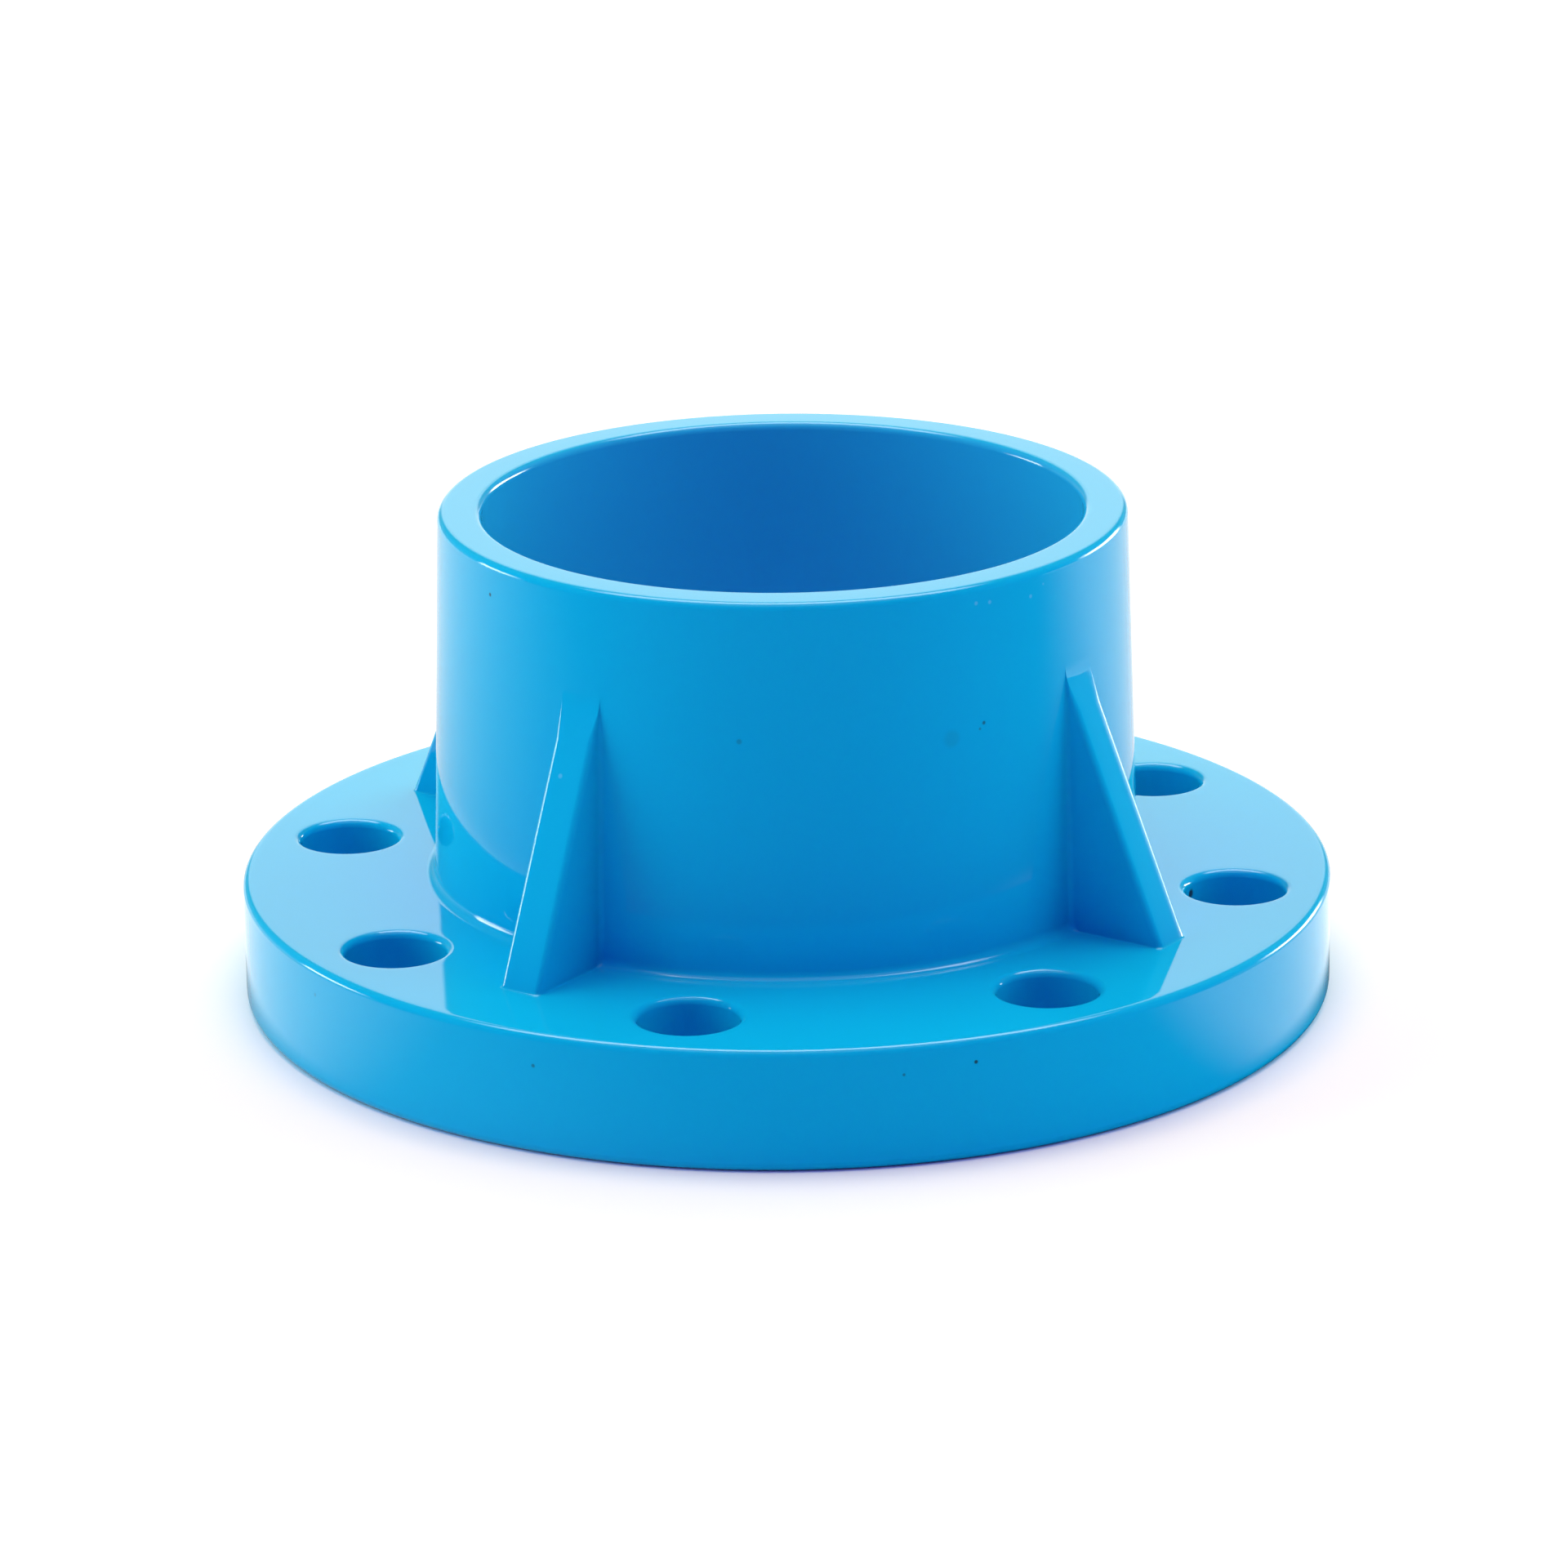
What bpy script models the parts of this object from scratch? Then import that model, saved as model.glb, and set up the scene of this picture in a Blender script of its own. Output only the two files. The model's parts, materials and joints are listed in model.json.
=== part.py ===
# Socket flange adaptor for rigid pressure pipe, moulded in one piece.
# A drilled flange carries a hub with a tapered solvent-cement socket, and four ribs brace the hub.
# The mating face lies on z = 0, the bore runs along Z and the socket opens upwards.

import math

import bmesh
import bpy
from mathutils import Matrix, Vector

# Flange plate, metres
FLANGE_THICKNESS = 0.0235
BOLT_CIRCLE_DIAMETER = 0.175
BOLT_HOLE_DIAMETER = 0.019
BOLT_HOLE_COUNT = 8
RIM_MARGIN = 0.008  # from the edge of a bolt hole to the flange's rim

# Socket and bore: the pipe is pushed in as far as the stop
SOCKET_MOUTH_DIAMETER = 0.1148
SOCKET_DEPTH = 0.084
SOCKET_TAPER = 1 / 34  # loss of diameter per unit of depth
STOP_LENGTH = 0.0115
BORE_DIAMETER = 0.100

# Hub around the socket
MOUTH_WALL = 0.0083
HUB_DRAFT = math.radians(1.75)

# Ribs between hub and flange
RIB_COUNT = 4
RIB_THICKNESS = 0.0089  # where it meets the flange
RIB_DRAFT = math.radians(0.25)
RIB_RISE = 0.0495  # from the flange to where the slope meets the hub
RIB_REACH = 0.0196  # from the hub to the rib's foot, along the flange
RIB_TOP_BLEND = 0.0025  # half the length over which the slope runs out on the hub

# Roundings and fillets
EDGE_ROUNDING = 0.0015  # hub rim, flange rim and bolt holes, on the socket side
FACE_ROUNDING = 0.0008  # edges of the mating face
STOP_ROUNDING = 0.0008
HUB_FILLET = 0.002
RIB_ROOT_FILLET = 0.001
RIB_FOOT_FILLET = 0.0003
RIB_ROUNDING = 0.0012

# Sealing grooves in the mating face
GROOVE_COUNT = 4
GROOVE_PITCH = 0.004
GROOVE_WIDTH = 0.0012
GROOVE_DEPTH = 0.0006

# Sizes that follow from those above
BOLT_CIRCLE_RADIUS = BOLT_CIRCLE_DIAMETER / 2
BOLT_HOLE_RADIUS = BOLT_HOLE_DIAMETER / 2
FLANGE_RADIUS = BOLT_CIRCLE_RADIUS + BOLT_HOLE_RADIUS + RIM_MARGIN
BORE_RADIUS = BORE_DIAMETER / 2
HEIGHT = STOP_LENGTH + SOCKET_DEPTH
MOUTH_RADIUS = SOCKET_MOUTH_DIAMETER / 2
SOCKET_END_RADIUS = MOUTH_RADIUS - SOCKET_DEPTH * SOCKET_TAPER / 2
RIM_RADIUS = MOUTH_RADIUS + MOUTH_WALL
HUB_FILLET_TOP = FLANGE_THICKNESS + HUB_FILLET * (1 - math.sin(HUB_DRAFT))
RIB_TOP = FLANGE_THICKNESS + RIB_RISE

# Smoothness of the facets
TURNS = 80
HOLE_TURNS = 24
OVERCUT = 0.002  # how far a cutter passes a face, and how deep a rib is rooted
FOOT_CUTS = (0, 45, 90)  # level cuts up a rib's foot fillet, in degrees of its arc
BASE_CUTS = (50, 70, 90)  # the same up the hub's base fillet
BLEND_CUTS = (-1, -0.4, 0.1, 0.5)  # cuts round a rib's top, in half lengths of its blend

BLUE = (0.0, 0.30, 0.70, 1.0)


def hub_radius(z):
    """Outside of the hub's drafted wall, before its base fillet."""
    return RIM_RADIUS + (HEIGHT - z) * math.tan(HUB_DRAFT)


def root_radius(z):
    """Outside of the hub with its base fillet, from the flange upwards."""
    if z >= HUB_FILLET_TOP:
        return hub_radius(z)
    centre_z = FLANGE_THICKNESS + HUB_FILLET
    centre_x = hub_radius(centre_z) + HUB_FILLET / math.cos(HUB_DRAFT)
    return centre_x - math.sqrt(HUB_FILLET**2 - min(HUB_FILLET, centre_z - z) ** 2)


def arc(centre, start, turn, steps):
    """Points of an arc from centre + start, turned by an angle in steps."""
    return [centre + Matrix.Rotation(turn * i / steps, 2) @ start for i in range(steps + 1)]


def rounded_corner(before, corner, after, radius, steps):
    """Arc that rounds off one corner of an outline."""
    back = (before - corner).normalized()
    on = (after - corner).normalized()
    half = back.angle(on) / 2
    centre = corner + (back + on).normalized() * radius / math.sin(half)
    start = corner + back * radius / math.tan(half) - centre
    end = corner + on * radius / math.tan(half) - centre
    return arc(centre, start, -start.angle_signed(end), steps)


def rounded_outline(corners):
    """Closed outline through (x, z, rounding, arc steps); a corner with no rounding stays sharp."""
    places = [Vector(corner[:2]) for corner in corners]
    points = []
    for i, (_, _, radius, steps) in enumerate(corners):
        if radius:
            after = places[(i + 1) % len(places)]
            points += rounded_corner(places[i - 1], places[i], after, radius, steps)
        else:
            points.append(places[i])
    return points


def groove_corners():
    """V grooves of the mating face, outermost first, centred between the bolt holes and the bore."""
    middle = (BOLT_CIRCLE_RADIUS - BOLT_HOLE_RADIUS + BORE_RADIUS) / 2
    corners = []
    for i in range(GROOVE_COUNT):
        radius = middle + ((GROOVE_COUNT - 1) / 2 - i) * GROOVE_PITCH
        corners.append((radius + GROOVE_WIDTH / 2, 0, 0, 0))
        corners.append((radius, GROOVE_DEPTH, 0, 0))
        corners.append((radius - GROOVE_WIDTH / 2, 0, 0, 0))
    return corners


def body_outline():
    """Half section of the fitting: down the hub, over the flange, back along the face, up the bore."""
    return rounded_outline(
        [
            (RIM_RADIUS, HEIGHT, EDGE_ROUNDING, 4),
            (hub_radius(FLANGE_THICKNESS), FLANGE_THICKNESS, HUB_FILLET, 5),
            (FLANGE_RADIUS, FLANGE_THICKNESS, EDGE_ROUNDING, 4),
            (FLANGE_RADIUS, 0, FACE_ROUNDING, 2),
            *groove_corners(),
            (BORE_RADIUS, 0, FACE_ROUNDING, 2),
            (BORE_RADIUS, STOP_LENGTH, STOP_ROUNDING, 2),
            (SOCKET_END_RADIUS, STOP_LENGTH, STOP_ROUNDING, 2),
            (MOUTH_RADIUS, HEIGHT, EDGE_ROUNDING, 4),
        ]
    )


def hole_outline():
    """Half section of what a bolt hole takes away, with both its edges rounded."""
    top = FLANGE_THICKNESS
    return [
        Vector((0, top + OVERCUT)),
        Vector((BOLT_HOLE_RADIUS + EDGE_ROUNDING, top + OVERCUT)),
        *arc(
            Vector((BOLT_HOLE_RADIUS + EDGE_ROUNDING, top - EDGE_ROUNDING)),
            Vector((0, EDGE_ROUNDING)),
            math.pi / 2,
            3,
        ),
        *arc(
            Vector((BOLT_HOLE_RADIUS + FACE_ROUNDING, FACE_ROUNDING)),
            Vector((-FACE_ROUNDING, 0)),
            math.pi / 2,
            2,
        ),
        Vector((BOLT_HOLE_RADIUS + FACE_ROUNDING, -OVERCUT)),
        Vector((0, -OVERCUT)),
    ]


def turned(name, outline, closed, turns):
    """Solid of revolution about Z, from an outline in the XZ plane."""
    mesh = bpy.data.meshes.new(name)
    edges = [(i, i + 1) for i in range(len(outline) - 1)]
    if closed:
        edges.append((len(outline) - 1, 0))
    mesh.from_pydata([(point.x, 0, point.y) for point in outline], edges, [])
    made = bpy.data.objects.new(name, mesh)
    screw = made.modifiers.new("Turn", "SCREW")
    screw.axis = "Z"
    screw.steps = turns
    screw.render_steps = turns
    screw.use_merge_vertices = True
    screw.merge_threshold = 0.00001
    return made


def foot_flare(z):
    """How far the fillet at a rib's foot stands out from its side at height z."""
    to_tangent = FLANGE_THICKNESS + RIB_FOOT_FILLET - z
    if to_tangent <= 0:
        return 0
    return RIB_FOOT_FILLET - math.sqrt(RIB_FOOT_FILLET**2 - min(RIB_FOOT_FILLET, to_tangent) ** 2)


def rib_stand(z):
    """How far the rib's sloped edge stands out from the hub's drafted wall at height z."""
    slope = RIB_REACH / RIB_RISE
    to_top = RIB_TOP - z
    if to_top > RIB_TOP_BLEND:
        return slope * to_top
    return slope * (to_top + RIB_TOP_BLEND) ** 2 / (4 * RIB_TOP_BLEND)


def rib_section(z):
    """Level cut through the rib that points along +X, as a closed loop of points."""
    hub = root_radius(z)
    half = RIB_THICKNESS / 2 - (z - FLANGE_THICKNESS) * math.tan(RIB_DRAFT) + foot_flare(z)
    nose = hub_radius(z) + rib_stand(z) + foot_flare(z)
    stand = nose - hub
    fillet = min(RIB_ROOT_FILLET, stand / 3)
    rounding = min(RIB_ROUNDING, stand / 3)
    centre_y = half + fillet
    centre = Vector((math.sqrt((hub + fillet) ** 2 - centre_y**2), centre_y))
    to_hub = -centre.normalized() * fillet
    turn = to_hub.angle_signed(Vector((0, -1)))
    side = arc(centre, to_hub, -turn, 3)
    side += arc(Vector((nose - rounding, half - rounding)), Vector((0, rounding)), -math.pi / 2, 2)
    seat = side[0].normalized() * (hub - OVERCUT)
    side.insert(0, seat)
    points = side + [Vector((point.x, -point.y)) for point in reversed(side)]
    return [Vector((point.x, point.y, z)) for point in points]


def fillet_levels(radius, degrees):
    """Heights up a fillet that starts level with the flange, at angles of its arc."""
    return [FLANGE_THICKNESS + radius * (1 - math.cos(math.radians(angle))) for angle in degrees]


def rib_levels():
    """Heights of the rib's cuts, close together through its fillets and its run-out."""
    foot = fillet_levels(RIB_FOOT_FILLET, FOOT_CUTS)
    base = fillet_levels(HUB_FILLET, BASE_CUTS)
    return foot + base + [RIB_TOP + RIB_TOP_BLEND * share for share in BLEND_CUTS]


def rib_mesh():
    """One rib, lofted through its level cuts and rooted in the flange and the hub."""
    levels = rib_levels()
    loops = [rib_section(z) for z in levels]
    down = Vector((0, 0, OVERCUT))
    loops.insert(0, [point - down for point in loops[0]])
    made = bmesh.new()
    rings = [[made.verts.new(point) for point in loop] for loop in loops]
    for low, high in zip(rings, rings[1:]):
        for i in range(len(low)):
            made.faces.new((low[i - 1], low[i], high[i], high[i - 1]))
    made.faces.new(rings[0])
    made.faces.new(rings[-1])
    bmesh.ops.recalc_face_normals(made, faces=made.faces)
    mesh = bpy.data.meshes.new("rib")
    made.to_mesh(mesh)
    made.free()
    return mesh


def collection(name, hidden):
    made = bpy.data.collections.new(name)
    made.hide_render = hidden
    bpy.context.scene.collection.children.link(made)
    return made


def helper(made, into):
    """An object that only cuts or joins, drawn as wire and left out of a render."""
    made.hide_render = True
    made.display_type = "WIRE"
    into.objects.link(made)


def combine(body, name, operation, others):
    boolean = body.modifiers.new(name, "BOOLEAN")
    boolean.operation = operation
    boolean.solver = "EXACT"
    boolean.operand_type = "COLLECTION"
    boolean.collection = others


def plastic():
    made = bpy.data.materials.new("blue_pvc")
    made.use_nodes = True
    shader = made.node_tree.nodes["Principled BSDF"]
    shader.inputs["Base Color"].default_value = BLUE
    shader.inputs["Roughness"].default_value = 0.18
    shader.inputs["Metallic"].default_value = 0.0
    made.diffuse_color = BLUE
    return made


def solid(made):
    """The object as a plain mesh, shaded smooth apart from its sharp edges."""
    graph = bpy.context.evaluated_depsgraph_get()
    mesh = bpy.data.meshes.new_from_object(made.evaluated_get(graph))
    made.modifiers.clear()
    made.data = mesh
    mesh.shade_smooth()
    mesh.set_sharp_from_angle(angle=math.radians(35))


def main():
    for old in list(bpy.data.objects):
        bpy.data.objects.remove(old)
    parts = collection("flange_adaptor", hidden=False)
    ribs = collection("rib_joins", hidden=True)
    holes = collection("bolt_hole_cutters", hidden=True)

    body = turned("flange_adaptor", body_outline(), closed=True, turns=TURNS)
    parts.objects.link(body)

    rib = rib_mesh()
    for i in range(RIB_COUNT):
        made = bpy.data.objects.new(f"rib_{i + 1}", rib)
        made.rotation_euler.z = math.tau * i / RIB_COUNT
        helper(made, ribs)

    first = turned("bolt_hole_1", hole_outline(), closed=False, turns=HOLE_TURNS)
    for i in range(BOLT_HOLE_COUNT):
        made = first.copy() if i else first
        made.name = f"bolt_hole_{i + 1}"
        angle = math.tau * (i + 0.5) / BOLT_HOLE_COUNT
        made.location = BOLT_CIRCLE_RADIUS * Vector((math.cos(angle), math.sin(angle), 0))
        helper(made, holes)

    combine(body, "Ribs", "UNION", ribs)
    combine(body, "Bolt holes", "DIFFERENCE", holes)
    bpy.context.view_layer.update()
    solid(body)
    body.data.materials.clear()
    body.data.materials.append(plastic())


main()
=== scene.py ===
# Socket flange adaptor in blue rigid plastic, on a plain white table.
# The moulding is one Geometry Nodes tree: a sector of hub with its rib, repeated round the axis, the
# turned rim and socket, and the bolt holes, closed by the two flat faces that are filled between them.

import json
import math

import bpy
from mathutils import Matrix, Vector

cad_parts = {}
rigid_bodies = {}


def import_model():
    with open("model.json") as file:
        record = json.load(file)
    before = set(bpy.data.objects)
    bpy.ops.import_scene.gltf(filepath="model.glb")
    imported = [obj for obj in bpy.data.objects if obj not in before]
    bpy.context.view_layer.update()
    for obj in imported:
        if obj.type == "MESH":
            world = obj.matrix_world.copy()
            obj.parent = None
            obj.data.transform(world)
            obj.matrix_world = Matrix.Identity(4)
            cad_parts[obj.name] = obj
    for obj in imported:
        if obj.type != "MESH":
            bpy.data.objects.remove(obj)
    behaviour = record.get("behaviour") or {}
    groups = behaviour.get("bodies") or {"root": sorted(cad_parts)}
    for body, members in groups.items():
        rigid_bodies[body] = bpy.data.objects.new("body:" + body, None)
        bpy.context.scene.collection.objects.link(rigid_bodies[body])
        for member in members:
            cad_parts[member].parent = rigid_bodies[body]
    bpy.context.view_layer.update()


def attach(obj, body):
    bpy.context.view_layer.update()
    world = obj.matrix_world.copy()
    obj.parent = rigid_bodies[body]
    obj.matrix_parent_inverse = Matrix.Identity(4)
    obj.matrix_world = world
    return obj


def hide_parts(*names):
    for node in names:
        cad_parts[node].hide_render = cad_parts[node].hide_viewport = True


scene = bpy.context.scene
for leftOver in list(bpy.data.objects):
    bpy.data.objects.remove(leftOver)
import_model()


class Formula:  # a value in a node tree that is reckoned with like a number
    def __init__(self, tree, socket):
        self.tree = tree
        self.socket = socket

    def __add__(self, other):
        return self.tree.maths("ADD", self, other)

    def __radd__(self, other):
        return self.tree.maths("ADD", other, self)

    def __sub__(self, other):
        return self.tree.maths("SUBTRACT", self, other)

    def __rsub__(self, other):
        return self.tree.maths("SUBTRACT", other, self)

    def __mul__(self, other):
        return self.tree.maths("MULTIPLY", self, other)

    def __rmul__(self, other):
        return self.tree.maths("MULTIPLY", other, self)

    def __truediv__(self, other):
        return self.tree.maths("DIVIDE", self, other)

    def __rtruediv__(self, other):
        return self.tree.maths("DIVIDE", other, self)

    def __lt__(self, other):
        return self.tree.maths("LESS_THAN", self, other)

    def __gt__(self, other):
        return self.tree.maths("GREATER_THAN", self, other)


class NodeTree:  # adds nodes and hands their outputs back as formulas
    def __init__(self, tree):
        self.tree = tree

    def feed(self, slot, value):
        if isinstance(value, Formula):
            self.tree.links.new(value.socket, slot)
        else:
            slot.default_value = value

    def node(self, kind, feeds=(), output=0, **settings):
        made = self.tree.nodes.new(kind)
        for name, value in settings.items():
            setattr(made, name, value)
        for key, value in feeds.items() if isinstance(feeds, dict) else enumerate(feeds):
            self.feed(made.inputs[key], value)
        return Formula(self, made.outputs[output])

    def maths(self, operation, *values):
        return self.node("ShaderNodeMath", values, operation=operation)

    def cos(self, angle):
        return self.maths("COSINE", angle)

    def sin(self, angle):
        return self.maths("SINE", angle)

    def root(self, value):
        return self.maths("SQRT", value)

    def least(self, one, other):
        return self.maths("MINIMUM", one, other)

    def point(self, x, y, z):
        return self.node("ShaderNodeCombineXYZ", (x, y, z))

    def choose(self, test, yes, no):
        return self.node("GeometryNodeSwitch", (test, no, yes), input_type="FLOAT")

    def pick(self, index, values, kind):  # the value in a list that an index asks for
        made = self.tree.nodes.new("GeometryNodeIndexSwitch")
        made.data_type = kind
        while len(made.index_switch_items) < len(values):
            made.index_switch_items.new()
        self.feed(made.inputs[0], index)
        for slot, value in zip(made.inputs[1:], values):
            self.feed(slot, value)
        return Formula(self, made.outputs[0])


# Sizes of the fitting in metres, its drafts in radians
adaptorSizes = {
    "Flange Radius": 0.105,
    "Flange Thickness": 0.0235,
    "Bolt Circle Radius": 0.0875,
    "Bolt Hole Radius": 0.0095,
    "Bolt Hole Count": 8,
    "Mouth Radius": 0.0574,
    "Mouth Wall": 0.0083,
    "Socket Depth": 0.084,
    "Socket Taper": 1 / 34,  # loss of diameter per unit of depth
    "Stop Length": 0.0115,
    "Bore Radius": 0.050,
    "Hub Draft": math.radians(1.75),
    "Rib Count": 4,
    "Rib Thickness": 0.0089,
    "Rib Draft": math.radians(0.25),
    "Rib Rise": 0.0495,
    "Rib Reach": 0.0196,
    "Rib Blend": 0.0025,  # half the length over which the slope runs out on the hub
    "Edge Rounding": 0.0015,
    "Face Rounding": 0.0008,
    "Foot Rounding": 0.002,  # lower edge of the rim, which shows as a dark line
    "Stop Rounding": 0.0008,
    "Hub Fillet": 0.002,
    "Rib Root Fillet": 0.001,
    "Rib Foot Fillet": 0.0003,
    "Rib Rounding": 0.0012,
    "Groove Circle Radius": 0.064,  # middle of the ring of sealing grooves
    "Groove Pitch": 0.004,
    "Groove Width": 0.0012,
    "Groove Depth": 0.0006,
}
adaptorFacets = {
    "nose": 2,  # columns from the middle of a rib's edge to its rounding
    "nose arc": 4,
    "root arc": 5,
    "hub": 20,  # columns from a rib's root to the middle between two ribs
    "base fillet": 8,  # rows up the hub's base fillet
    "slope": 12,
    "blend": 8,
    "rim": 192,  # columns round the flange
    "hole": 48,
    "grooves": 4,
    "edge arc": 6,  # steps of an outer rounding
    "small arc": 4,
}
curvedEdgeStand = 0.001  # a rib's edge turns from flat to the hub's curve as it stands out less than this
roundedShare = 0.9  # of a low rib's stand that its fillet and rounding take together
weldDistance = 0.000002


def newTree(name, sizes):
    group = bpy.data.node_groups.new(name, "GeometryNodeTree")
    group.interface.new_socket("Geometry", in_out="OUTPUT", socket_type="NodeSocketGeometry")
    group.interface.new_socket("Plastic", in_out="INPUT", socket_type="NodeSocketMaterial")
    for label, value in sizes.items():
        kind = "NodeSocketInt" if isinstance(value, int) else "NodeSocketFloat"
        group.interface.new_socket(label, in_out="INPUT", socket_type=kind).default_value = value
    tree = NodeTree(group)
    start = group.nodes.new("NodeGroupInput")
    tree.size = {slot.name: Formula(tree, slot) for slot in start.outputs if slot.name}
    return tree


def hubRadius(tree, z):  # outside of the drafted wall, before its base fillet
    size = tree.size
    height = size["Stop Length"] + size["Socket Depth"]
    draft = tree.maths("TANGENT", size["Hub Draft"])
    return size["Mouth Radius"] + size["Mouth Wall"] + (height - z) * draft


def rootRadius(tree, z):  # outside of the hub with its base fillet
    size = tree.size
    fillet = size["Hub Fillet"]
    centreZ = size["Flange Thickness"] + fillet
    centreX = hubRadius(tree, centreZ) + fillet / tree.cos(size["Hub Draft"])
    drop = tree.least(fillet, centreZ - z)
    inFillet = centreX - tree.root(fillet * fillet - drop * drop)
    filletTop = centreZ - fillet * tree.sin(size["Hub Draft"])
    return tree.choose(z < filletTop, inFillet, hubRadius(tree, z))


def footFlare(tree, z):  # how far the fillet at a rib's foot stands out from the rib
    fillet = tree.size["Rib Foot Fillet"]
    left = tree.maths("MAXIMUM", tree.size["Flange Thickness"] + fillet - z, 0)
    left = tree.least(left, fillet)
    return fillet - tree.root(fillet * fillet - left * left)


def ribStand(tree, z):  # how far the sloped edge stands out from the drafted wall
    size = tree.size
    slope = size["Rib Reach"] / size["Rib Rise"]
    blend = size["Rib Blend"]
    toTop = size["Flange Thickness"] + size["Rib Rise"] - z
    runOut = slope * (toTop + blend) * (toTop + blend) / (4 * blend)
    return tree.choose(toTop > blend, slope * toTop, runOut)


def rowHeight(tree, row, facets):  # height of a level cut: crowded up the fillet and where the rib ends
    size = tree.size
    foot = size["Flange Thickness"]
    blend = size["Rib Blend"]
    filletRows, slopeRows, blendRows = facets["base fillet"], facets["slope"], facets["blend"]
    inFillet = foot + size["Hub Fillet"] * (1 - tree.cos(row * (math.pi / 2 / filletRows)))
    slopeStart = foot + size["Hub Fillet"]
    slopeEnd = foot + size["Rib Rise"] - blend
    onSlope = slopeStart + (slopeEnd - slopeStart) * (row - filletRows) / slopeRows
    inBlend = slopeEnd + blend * (row - filletRows - slopeRows) * (2 / blendRows)
    upper = tree.choose(row < filletRows + slopeRows + 0.5, onSlope, inBlend)
    return tree.choose(row < filletRows + 0.5, inFillet, upper)


def sectorColumns(facets):  # columns from the middle of a rib to the middle between two ribs
    nose = facets["nose"]
    rounded = nose + facets["nose arc"]
    side = rounded + 1
    rooted = side + facets["root arc"]
    return nose, rounded, side, rooted, rooted + facets["hub"]


def gridPlaces(tree, rows):  # column and row of each vertex of a grid
    index = tree.node("GeometryNodeInputIndex")
    column = tree.maths("FLOOR", index / rows)
    return column, index - column * rows


def sheet(tree, columns, rows, place):  # grid whose vertices go to their places
    grid = tree.node("GeometryNodeMeshGrid", {"Vertices X": columns, "Vertices Y": rows})
    return tree.node("GeometryNodeSetPosition", {"Geometry": grid, "Position": place})


def ribSheet(tree, facets):  # hub wall with one rib, lofted up to where the rib has run out
    size = tree.size
    nose, rounded, side, rooted, last = sectorColumns(facets)
    rows = facets["base fillet"] + facets["slope"] + facets["blend"] + 1
    column, row = gridPlaces(tree, rows)
    across = column - last
    step = tree.maths("ABSOLUTE", across)
    z = rowHeight(tree, row, facets)

    hub = rootRadius(tree, z)
    flare = footFlare(tree, z)
    taper = (z - size["Flange Thickness"]) * tree.maths("TANGENT", size["Rib Draft"])
    half = size["Rib Thickness"] / 2 - taper + flare
    edge = hubRadius(tree, z) + ribStand(tree, z) + flare
    stand = edge - hub
    wanted = size["Rib Root Fillet"] + size["Rib Rounding"]
    share = tree.least(1, stand * roundedShare / wanted)
    fillet = size["Rib Root Fillet"] * share
    rounding = size["Rib Rounding"] * share

    def sag(y):  # the edge is flat along most of the rib and takes the hub's curve as it ends
        curve = hub - tree.root(hub * hub - y * y)
        return curve * (1 - tree.least(1, stand / curvedEdgeStand))

    flatY = (half - rounding) * tree.least(step, nose) / nose
    flatX = edge - sag(flatY)
    turn = (step - nose) * (math.pi / 2 / facets["nose arc"])
    noseX = edge - sag(half - rounding) - rounding + rounding * tree.cos(turn)
    noseY = half - rounding + rounding * tree.sin(turn)

    centreY = half + fillet
    centreX = tree.root((hub + fillet) * (hub + fillet) - centreY * centreY)
    lean = tree.maths("ARCTAN2", centreY, centreX)
    turn = 1.5 * math.pi - (step - side) / facets["root arc"] * (math.pi / 2 - lean)
    rootX = centreX + fillet * tree.cos(turn)
    rootY = centreY + fillet * tree.sin(turn)

    sectorHalf = math.pi / size["Rib Count"]
    angle = lean + (sectorHalf - lean) * (step - rooted) / facets["hub"]
    wallX = hub * tree.cos(angle)
    wallY = hub * tree.sin(angle)

    x, y = wallX, wallY
    for end, nextX, nextY in ((rooted, rootX, rootY), (rounded, noseX, noseY), (nose, flatX, flatY)):
        x = tree.choose(step < end + 0.5, nextX, x)
        y = tree.choose(step < end + 0.5, nextY, y)
    y = y * tree.maths("SIGN", across)
    return sheet(tree, 2 * last + 1, rows, tree.point(x, y, z))


def wallAngle(tree, column, z, facets):  # directions of a sector's columns where the rib has run out
    size = tree.size
    nose, _, _, rooted, last = sectorColumns(facets)
    across = column - last
    step = tree.maths("ABSOLUTE", across)
    hub = hubRadius(tree, z)
    half = size["Rib Thickness"] / 2
    half = half - (z - size["Flange Thickness"]) * tree.maths("TANGENT", size["Rib Draft"])
    y = half * tree.least(step, nose) / nose
    onRib = tree.maths("ARCSINE", y / hub)
    lean = tree.maths("ARCSINE", half / hub)
    onWall = lean + (math.pi / size["Rib Count"] - lean) * (step - rooted) / facets["hub"]
    return tree.choose(step < rooted + 0.5, onRib, onWall) * tree.maths("SIGN", across)


def outline(tree, corners):  # curve through (radius, height, rounding, steps)
    index = tree.node("GeometryNodeInputIndex")
    line = tree.node("GeometryNodeMeshLine", {"Count": len(corners)})
    places = tree.pick(index, [tree.point(x, 0, z) for x, z, _, _ in corners], "VECTOR")
    line = tree.node("GeometryNodeSetPosition", {"Geometry": line, "Position": places})
    curve = tree.node("GeometryNodeMeshToCurve", {"Mesh": line})
    feeds = {
        "Curve": curve,
        "Count": tree.pick(index, [max(steps, 1) for *_, steps in corners], "INT"),
        "Radius": tree.pick(index, [rounding for _, _, rounding, _ in corners], "FLOAT"),
    }
    return tree.node("GeometryNodeFilletCurve", feeds, mode="POLY")


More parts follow.
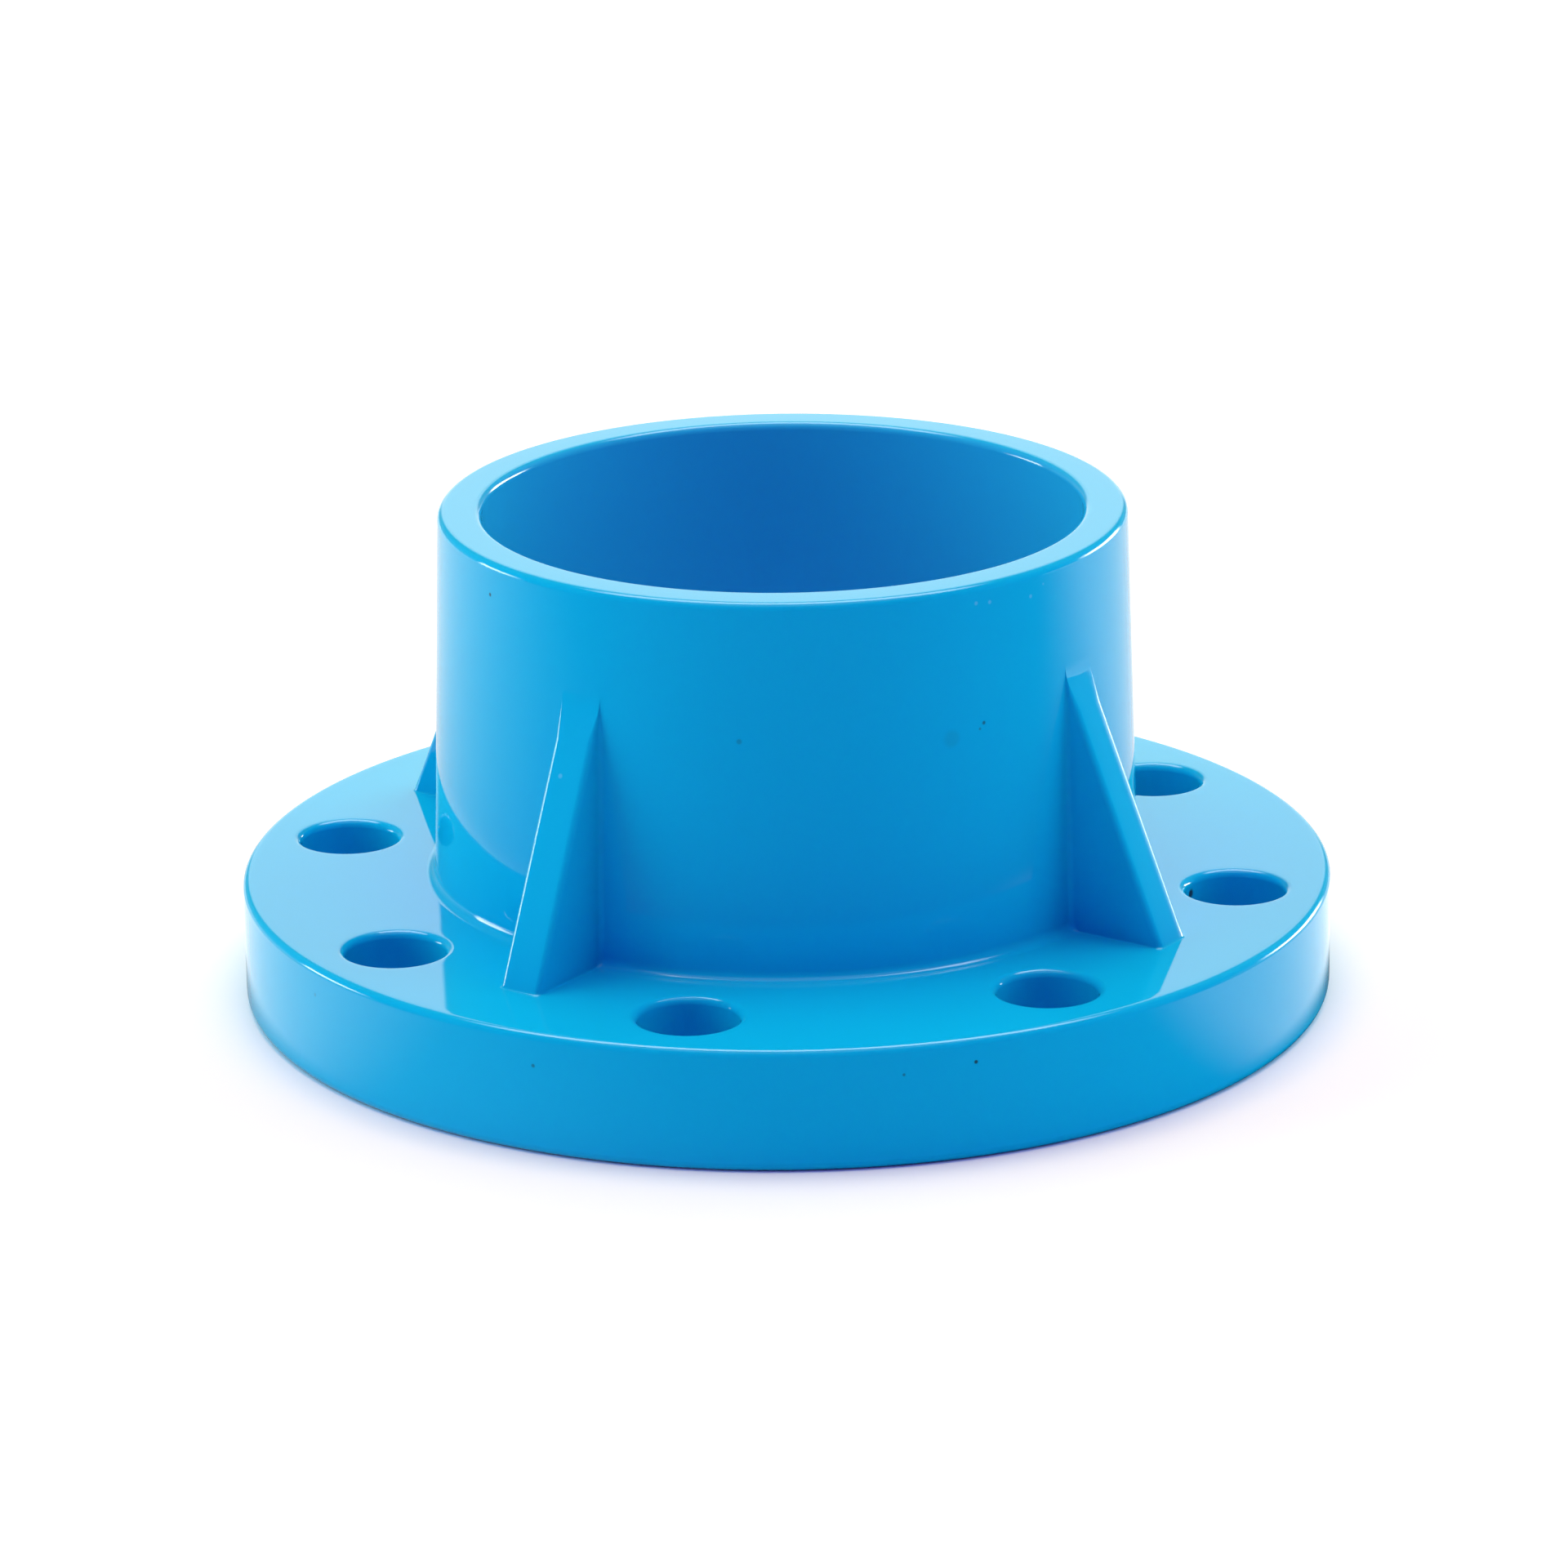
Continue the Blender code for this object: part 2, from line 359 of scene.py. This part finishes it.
def turnedSheet(tree, curve, columns, direction):  # an outline turned about the axis
    rows = tree.node("GeometryNodeAttributeDomainSize", (curve,), component="CURVE")
    column, row = gridPlaces(tree, rows)
    place = tree.node("GeometryNodeInputPosition")
    feeds = {"Geometry": curve, "Value": place, "Index": row}
    sampled = tree.node("GeometryNodeSampleIndex", feeds, data_type="FLOAT_VECTOR", domain="POINT")
    radius = tree.node("ShaderNodeSeparateXYZ", (sampled,), output="X")
    height = tree.node("ShaderNodeSeparateXYZ", (sampled,), output="Z")
    angle = direction(column)
    turned = tree.point(radius * tree.cos(angle), radius * tree.sin(angle), height)
    return sheet(tree, columns + 1, rows, turned)


def allRound(columns):  # even directions of a turned sheet's columns
    return lambda column: column * (math.tau / columns)


def repeated(tree, made, count, places=None):  # copies round the axis, made real
    index = tree.node("GeometryNodeInputIndex")
    angle = (index + 0.5) * math.tau / count
    points = {"Count": count}
    if places is not None:
        points["Position"] = tree.point(places * tree.cos(angle), places * tree.sin(angle), 0)
    points = tree.node("GeometryNodePoints", points)
    feeds = {"Points": points, "Instance": made}
    feeds["Rotation"] = tree.point(0, 0, angle - math.pi / count)
    copies = tree.node("GeometryNodeInstanceOnPoints", feeds)
    return tree.node("GeometryNodeRealizeInstances", (copies,))


def welded(tree, *pieces):
    joined = tree.tree.nodes.new("GeometryNodeJoinGeometry")
    for piece in pieces:
        tree.tree.links.new(piece.socket, joined.inputs[0])
    feeds = {"Geometry": Formula(tree, joined.outputs[0]), "Distance": weldDistance}
    return tree.node("GeometryNodeMergeByDistance", feeds)


def flatFace(tree, skin, onTop):  # face filled between the open loops at one of the flange's two levels
    place = tree.node("GeometryNodeInputPosition")
    z = tree.node("ShaderNodeSeparateXYZ", (place,), output="Z")
    middle = tree.size["Flange Thickness"] / 2
    neighbours = tree.node("GeometryNodeInputMeshEdgeNeighbors")
    level = z > middle if onTop else z < middle
    loops = tree.node("GeometryNodeMeshToCurve", (skin, (neighbours < 1.5) * level))
    face = tree.node("GeometryNodeFillCurve", (loops,), mode="TRIANGLES")
    if onTop:
        up = tree.point(0, 0, tree.size["Flange Thickness"])
        return tree.node("GeometryNodeTransform", {"Geometry": face, "Translation": up})
    return tree.node("GeometryNodeFlipFaces", (face,))


def buildAdaptorTree(sizes, facets):
    tree = newTree("flangeAdaptor", sizes)
    size = tree.size
    thickness = size["Flange Thickness"]
    height = size["Stop Length"] + size["Socket Depth"]
    ribEnd = thickness + size["Rib Rise"] + size["Rib Blend"]
    socketEnd = size["Mouth Radius"] - size["Socket Depth"] * size["Socket Taper"] / 2
    edge, face, stop = size["Edge Rounding"], size["Face Rounding"], size["Stop Rounding"]
    edgeArc, smallArc = facets["edge arc"], facets["small arc"]

    wall = ribSheet(tree, facets)
    corners = [
        (hubRadius(tree, ribEnd), ribEnd, 0, 0),
        (size["Mouth Radius"] + size["Mouth Wall"], height, edge, edgeArc),
        (size["Mouth Radius"], height, edge, edgeArc),
        (socketEnd, size["Stop Length"], stop, smallArc),
        (size["Bore Radius"], size["Stop Length"], stop, smallArc),
        (size["Bore Radius"], 0, face, smallArc),
    ]
    centre = (facets["grooves"] - 1) / 2
    for i in range(facets["grooves"]):
        middle = size["Groove Circle Radius"] + size["Groove Pitch"] * (i - centre)
        corners.append((middle - size["Groove Width"] / 2, 0, 0, 0))
        corners.append((middle, size["Groove Depth"], 0, 0))
        corners.append((middle + size["Groove Width"] / 2, 0, 0, 0))
    columns = 2 * sectorColumns(facets)[-1]
    socket = turnedSheet(
        tree, outline(tree, corners), columns, lambda column: wallAngle(tree, column, ribEnd, facets)
    )
    hub = repeated(tree, welded(tree, wall, socket), size["Rib Count"])

    rimRadius = size["Flange Radius"]
    corners = [
        (rimRadius - 2 * edge, 0, 0, 0),
        (rimRadius, 0, size["Foot Rounding"], edgeArc),
        (rimRadius, thickness, edge, edgeArc),
        (rimRadius - 2 * edge, thickness, 0, 0),
    ]
    rim = turnedSheet(tree, outline(tree, corners), facets["rim"], allRound(facets["rim"]))

    holeRadius = size["Bolt Hole Radius"]
    corners = [
        (holeRadius + 2 * edge, thickness, 0, 0),
        (holeRadius, thickness, edge, edgeArc),
        (holeRadius, 0, face, smallArc),
        (holeRadius + 2 * edge, 0, 0, 0),
    ]
    hole = turnedSheet(tree, outline(tree, corners), facets["hole"], allRound(facets["hole"]))
    holes = repeated(tree, hole, size["Bolt Hole Count"], places=size["Bolt Circle Radius"])

    skin = welded(tree, hub, rim, holes)
    closed = welded(tree, skin, flatFace(tree, skin, onTop=True), flatFace(tree, skin, onTop=False))
    real = tree.node("GeometryNodeRealizeInstances", (closed,))
    finished = tree.node("GeometryNodeSetMaterial", {"Geometry": real, "Material": size["Plastic"]})
    end = tree.tree.nodes.new("NodeGroupOutput")
    tree.tree.links.new(finished.socket, end.inputs[0])
    return tree.tree


def setInput(modifier, label, value):  # by the socket's identifier
    for item in modifier.node_group.interface.items_tree:
        if item.item_type == "SOCKET" and item.in_out == "INPUT" and item.name == label:
            modifier[item.identifier] = value


def madeReal(name, group, material, sizes):  # the tree's result as a plain mesh in an object of its own
    maker = bpy.data.objects.new(name, bpy.data.meshes.new(name))
    scene.collection.objects.link(maker)
    nodes = maker.modifiers.new("Moulding", "NODES")
    nodes.node_group = group
    setInput(nodes, "Plastic", material)
    for label, value in sizes.items():
        setInput(nodes, label, value)
    graph = bpy.context.evaluated_depsgraph_get()
    mesh = bpy.data.meshes.new_from_object(maker.evaluated_get(graph))
    maker.modifiers.remove(nodes)
    maker.data = mesh
    mesh.name = name
    return maker


# Colour and finish of the plastic
moulding = {
    "blue": (0.002, 0.425, 0.715, 1),
    "paler blue": (0.004, 0.45, 0.74, 1),
    "socket blue": (0.02, 0.41, 0.72, 1),
    "roughness": 0.28,
    "scuffed roughness": 0.4,
    "socket roughness": 0.5,
    "socket radius": 0.0578,
    "shine": 0.0,  # of the layer under the coat
    "coat": 1.0,
    "coat roughness": 0.05,
    "ripple": 0.00001,  # height of the slow waves that a thick moulding has
    "wave scale": 30.0,
    "shade scale": 22.0,
    "scuff scale": 900.0,
    "scuff share": (0.55, 0.8),  # noise from which a scuff begins, and is full
    "socket edge": 0.0006,  # over which the socket's finish begins
}
# Paint of each kind of mark, then the marks: place and radius in metres, strength
marks = {
    "dark": ((0.015, 0.04, 0.05, 1), [
        ((0.0304, -0.0591, 0.0694), 0.0007, 0.3),
        ((0.0616, -0.0250, 0.0691), 0.0005, 0.7),
        ((0.0612, -0.0258, 0.0681), 0.0004, 0.5),
        ((0.0587, -0.0314, 0.0672), 0.0022, 0.12),
        ((-0.0239, -0.0614, 0.0893), 0.0005, 0.8),
        ((0.0151, -0.1039, 0.0173), 0.0005, 0.6),
        ((0.0841, -0.0628, 0.0190), 0.0005, 0.9),
        ((0.0753, -0.0731, 0.0180), 0.0004, 0.6),
        ((-0.0402, -0.0970, 0.0180), 0.0005, 0.25),
        ((0.0714, 0.0329, 0.0205), 0.0012, 1.0),
    ]),
    "pale": ((0.25, 0.62, 0.85, 1), [
        ((-0.0011, -0.0716, 0.0607), 0.0006, 0.3),
        ((0.0605, -0.0258, 0.0921), 0.0005, 0.3),
        ((0.0617, -0.0230, 0.0918), 0.0005, 0.3),
        ((0.0645, -0.0134, 0.0909), 0.0005, 0.3),
        ((0.0652, -0.0100, 0.0925), 0.0004, 0.25),
    ]),
}
markCore = 0.4  # share of a mark's radius that has its full strength


def eased(tree, value, low, high, start=0.0, end=1.0):
    feeds = {"Value": value, "From Min": low, "From Max": high, "To Min": start, "To Max": end}
    return tree.node("ShaderNodeMapRange", feeds, interpolation_type="SMOOTHSTEP")


def tinted(tree, share, colour, other):
    feeds = {"Factor": share, 6: colour, 7: other}
    return tree.node("ShaderNodeMix", feeds, output=2, data_type="RGBA")


def distance(tree, place, centre):
    feeds = (place, centre)
    return tree.node("ShaderNodeVectorMath", feeds, output="Value", operation="DISTANCE")


def marked(tree, place, colour):
    for paint, spots in marks.values():
        for centre, radius, strength in spots:
            away = distance(tree, place, centre)
            colour = tinted(
                tree, eased(tree, away, radius * markCore, radius, strength, 0.0), colour, paint
            )
    return colour


def mouldedPlastic(look):
    made = bpy.data.materials.new("blueMoulding")
    made.use_nodes = True
    shader = made.node_tree.nodes["Principled BSDF"]
    tree = NodeTree(made.node_tree)
    place = tree.node("ShaderNodeTexCoord", output="Object")
    slow = tree.node(
        "ShaderNodeTexNoise", {"Vector": place, "Scale": look["shade scale"], "Detail": 3.0}
    )
    colour = tinted(tree, slow, look["blue"], look["paler blue"])
    fine = tree.node(
        "ShaderNodeTexNoise", {"Vector": place, "Scale": look["scuff scale"], "Detail": 4.0}
    )
    begins, full = look["scuff share"]
    feeds = {"Value": fine, "From Min": begins, "From Max": full}
    feeds.update({"To Min": look["roughness"], "To Max": look["scuffed roughness"]})
    rough = tree.node("ShaderNodeMapRange", feeds)
    flat = tree.node("ShaderNodeVectorMath", (place, (1, 1, 0)), operation="MULTIPLY")
    fromAxis = tree.node("ShaderNodeVectorMath", (flat,), output="Value", operation="LENGTH")
    socket = look["socket radius"]
    feeds = {"Value": fromAxis, "From Min": socket + look["socket edge"], "From Max": socket}
    inSocket = tree.node("ShaderNodeMapRange", feeds)
    rough = tree.node("ShaderNodeMix", {0: inSocket, 2: rough, 3: look["socket roughness"]})
    waves = tree.node(
        "ShaderNodeTexNoise", {"Vector": place, "Scale": look["wave scale"], "Detail": 1.0}
    )
    bump = tree.node(
        "ShaderNodeBump", {"Height": waves, "Strength": 1.0, "Distance": look["ripple"]}
    )
    colour = tinted(tree, inSocket, colour, look["socket blue"])
    tree.feed(shader.inputs["Base Color"], marked(tree, place, colour))
    tree.feed(shader.inputs["Roughness"], rough)
    tree.feed(shader.inputs["Normal"], bump)
    tree.feed(shader.inputs["Coat Normal"], bump)
    shader.inputs["Specular IOR Level"].default_value = look["shine"]
    shader.inputs["Coat Weight"].default_value = look["coat"]
    shader.inputs["Coat Roughness"].default_value = look["coat roughness"]
    return made


plastic = mouldedPlastic(moulding)
adaptorTree = buildAdaptorTree(adaptorSizes, adaptorFacets)
adaptor = madeReal("flangeAdaptor", adaptorTree, plastic, adaptorSizes)
adaptor.data.shade_smooth()
adaptor.data.set_sharp_from_angle(angle=math.radians(35))
normals = adaptor.modifiers.new("Flat faces stay flat", "WEIGHTED_NORMAL")
normals.keep_sharp = True
normals.weight = 100
print("moulding:", len(adaptor.data.vertices), "vertices,", len(adaptor.data.polygons), "faces")

studio = {
    "view turn": 34.5,  # where the photograph was taken from, in degrees round the axis
    "distance": 1.38236,
    "elevation": 19.9256,
    "pitch": 18.3822,
    "roll": 0.6933,
    "yaw": -0.0147,
    "lens": 163.04,
    "table half width": 4.0,
    "ambient in front": (0.03, 0.043, 0.067),
    "ambient behind": (0.168, 0.155, 0.152),
    "lamp width": 1.8,
    "lamps": {  # where they stand, and their power in red, green and blue
        "top": ((0.0, 0.0, 2.4), (43.0, 32.5, 20.5)),
        "left high": ((-1.7, 0.1, 1.6), (6.5, 12.0, 10.0)),
        "right high": ((1.7, 0.1, 1.6), (6.5, 11.0, 9.0)),
        "front high": ((0.0, -1.7, 1.7), (5.6, 1.6, 18.0)),
        "left low": ((-2.2, 0.0, 0.5), (14.0, 27.0, 30.0)),
        "right low": ((2.2, 0.0, 0.5), (9.0, 13.0, 21.0)),
        "behind": ((0.0, 2.2, 0.6), (18.0, 13.0, 10.0)),
        "left behind": ((-1.6, 1.6, 0.6), (24.0, 21.5, 17.5)),
        "right behind": ((1.6, 1.6, 0.6), (31.0, 34.0, 26.0)),
    },
}
# What the plastic mirrors instead of the lamps. A pair is where something begins and is full or gone,
# as a share of the way back, aside or up; on the table, back and from the axis are in metres.
surroundings = {
    "dark": 0.005,
    "backdrop": 1.34,
    "backdrop back": (0.5, 0.8),
    "backdrop aside": (0.17, 0.35),
    "horizon": (0.25, 0.1),  # low down, and higher up
    "horizon back": (0.1, 0.6),
    "horizon up": (0.1, 0.3),
    "left box": (9.8, (0.05, 0.25), (0.42, 0.48)),  # strength, where it begins and ends by bearing
    "right box": (14.0, (0.36, 0.53), (0.75, 0.85)),
    "boxes up": (0.13, 0.26),
    "overhead": 6.0,
    "overhead up": (0.8, 0.9),
    "overhead back": (0.02, 0.12),
    "overhead in front": 0.1,  # share of its strength
    "turn back": (-0.8, 0.6),  # where the light goes over from the one in front to the one behind
    "table middle": (-0.1, 0.1),  # over which its left side goes over into the right
    "table glow": 1.0,
    "table back": ((-0.2, 0.25), (-0.05, 0.15)),  # left and right
    "far table glow": 0.3,
    "far table back": (0.3, 0.9),
    "end glow": (0.68, 1.05),
    "end aside": ((0.74, 0.98), (0.79, 0.94)),
    # painted contact shadow: the end glow is dark close to the rim's foot
    "end contact shadow": (0.106, 0.112),
    "end far": (0.15, 0.19),
}
# Right, away and up as the camera has them
facing = Matrix.Rotation(math.radians(studio["view turn"]), 4, "Z")


def placedCamera(look):
    angles = ("elevation", "pitch", "roll", "yaw")
    elevation, pitch, roll, yaw = (math.radians(look[key]) for key in angles)
    stand = Vector((0, -math.cos(elevation), math.sin(elevation))) * look["distance"]
    level = Vector((math.sin(yaw), math.cos(yaw), 0)) * math.cos(pitch)
    ahead = level - Vector((0, 0, math.sin(pitch)))
    levelRight = Vector((math.cos(yaw), -math.sin(yaw), 0))
    levelDown = ahead.cross(levelRight)
    right = math.cos(roll) * levelRight + math.sin(roll) * levelDown
    down = math.cos(roll) * levelDown - math.sin(roll) * levelRight
    turned = Matrix((right, -down, -ahead)).transposed().to_4x4()
    turned.translation = stand
    data = bpy.data.cameras.new("camera")
    data.lens = look["lens"]
    data.sensor_width = 36
    data.clip_end = 50
    camera = bpy.data.objects.new("camera", data)
    camera.matrix_world = facing @ turned
    scene.collection.objects.link(camera)
    scene.camera = camera


def placedLamp(name, place, power):
    data = bpy.data.lights.new(name, "AREA")
    data.size = studio["lamp width"]
    data.energy = max(power)
    data.color = [part / max(power) for part in power]
    lamp = bpy.data.objects.new(name, data)
    lamp.visible_glossy = False
    stand = facing @ Vector(place)
    towardsPart = (-stand).to_track_quat("-Z", "Y").to_matrix().to_4x4()
    lamp.matrix_world = Matrix.Translation(stand) @ towardsPart
    scene.collection.objects.link(lamp)


def along(tree, place, axis):  # how far a point or a direction lies along one of the camera's axes
    axis = facing @ Vector(axis)
    return tree.node("ShaderNodeVectorMath", (place, axis), output="Value", operation="DOT_PRODUCT")


def faded(tree, value, pair, strength=1.0):  # full below the pair, gone above it
    return eased(tree, value, *pair, strength, 0.0)


def tableMaterial(seen):
    made = bpy.data.materials.new("whiteTable")
    made.use_nodes = True
    made.node_tree.nodes.clear()
    tree = NodeTree(made.node_tree)
    place = tree.node("ShaderNodeTexCoord", output="Object")
    back = along(tree, place, (0, 1, 0))
    across = along(tree, place, (1, 0, 0))
    onRight = eased(tree, across, *seen["table middle"])

    def sided(left, right):  # a value that differs on the two sides
        return left + onRight * (right - left)

    begins, full = (sided(*pair) for pair in zip(*seen["table back"]))
    glow = eased(tree, back, begins, full, seen["dark"], seen["table glow"])
    glow = glow + eased(tree, back, *seen["far table back"], 0.0, seen["far table glow"])
    fromAxis = tree.node("ShaderNodeVectorMath", (place,), output="Value", operation="LENGTH")
    aside = tree.maths("ABSOLUTE", across) / fromAxis
    begins, full = (sided(*pair) for pair in zip(*seen["end aside"]))
    ends = eased(tree, aside, begins, full, 0.0, sided(*seen["end glow"]))
    # painted contact shadow: the mirrored end glow fades out close to the rim's foot
    ends = ends * eased(tree, fromAxis, *seen["end contact shadow"])
    glow = glow + ends * faded(tree, fromAxis, seen["end far"])
    mirrored = tree.node("ShaderNodeEmission", {"Strength": glow})
    matt = tree.node("ShaderNodeBsdfDiffuse", {"Color": (0.93, 0.93, 0.93, 1)})
    isGlossy = tree.node("ShaderNodeLightPath", output="Is Glossy Ray")
    mixed = tree.node("ShaderNodeMixShader", (isGlossy, matt, mirrored))
    end = made.node_tree.nodes.new("ShaderNodeOutputMaterial")
    tree.feed(end.inputs["Surface"], mixed)
    return made


def sideBox(tree, bearing, box):
    strength, begins, ends = box
    return eased(tree, bearing, *begins) * faded(tree, bearing, ends, strength)


def lightWorld(look, seen):
    world = bpy.data.worlds.new("studio")
    world.use_nodes = True
    world.node_tree.nodes.clear()
    scene.world = world
    tree = NodeTree(world.node_tree)
    direction = tree.node("ShaderNodeTexCoord", output="Generated")
    back = along(tree, direction, (0, 1, 0))
    up = along(tree, direction, (0, 0, 1))
    right = along(tree, direction, (1, 0, 0))
    aside = tree.maths("ABSOLUTE", right)
    bearing = back / tree.root(1.0001 - up * up)  # a little over 1 keeps the root from nothing
    backdrop = eased(tree, back, *seen["backdrop back"])
    backdrop = backdrop * faded(tree, aside, seen["backdrop aside"], seen["backdrop"])
    horizon = eased(tree, back, *seen["horizon back"])
    horizon = horizon * eased(tree, up, *seen["horizon up"], *seen["horizon"])
    boxes = sideBox(tree, bearing, seen["left box"]) * (right < 0)
    boxes = boxes + sideBox(tree, bearing, seen["right box"]) * (right > 0)
    boxes = boxes * faded(tree, up, seen["boxes up"])
    overhead = eased(tree, up, *seen["overhead up"], 0.0, seen["overhead"])
    overhead = overhead * eased(tree, back, *seen["overhead back"], seen["overhead in front"], 1.0)
    mirrored = seen["dark"] + tree.maths("MAXIMUM", backdrop, horizon) + boxes + overhead
    isGlossy = tree.node("ShaderNodeLightPath", output="Is Glossy Ray")
    isCamera = tree.node("ShaderNodeLightPath", output="Is Camera Ray")
    frontToBack = eased(tree, back, *seen["turn back"])
    tint = tinted(
        tree, frontToBack, (*look["ambient in front"], 1), (*look["ambient behind"], 1)
    )
    fill = tree.node("ShaderNodeBackground", {"Color": tint, "Strength": 1.0})
    glossy = tree.node("ShaderNodeBackground", {"Color": (1, 1, 1, 1), "Strength": mirrored})
    white = tree.node("ShaderNodeBackground", {"Color": (1, 1, 1, 1), "Strength": 1.0})
    ground = tree.node("ShaderNodeMixShader", (isGlossy, fill, glossy))
    ground = tree.node("ShaderNodeMixShader", (isCamera, ground, white))
    end = world.node_tree.nodes.new("ShaderNodeOutputWorld")
    tree.feed(end.inputs["Surface"], ground)


placedCamera(studio)
for name, settings in studio["lamps"].items():
    placedLamp(name, *settings)
lightWorld(studio, surroundings)
reach = studio["table half width"]
tableCorners = [(x * reach, y * reach, 0) for x, y in ((-1, -1), (1, -1), (1, 1), (-1, 1))]
tableMesh = bpy.data.meshes.new("table")
tableMesh.from_pydata(tableCorners, [], [(0, 1, 2, 3)])
tableMesh.materials.append(tableMaterial(surroundings))
table = bpy.data.objects.new("table", tableMesh)
scene.collection.objects.link(table)
scene.view_settings.view_transform = "Standard"
print("studio: camera, lamps, world and table")

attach(adaptor, "root")
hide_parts("flange_adaptor")
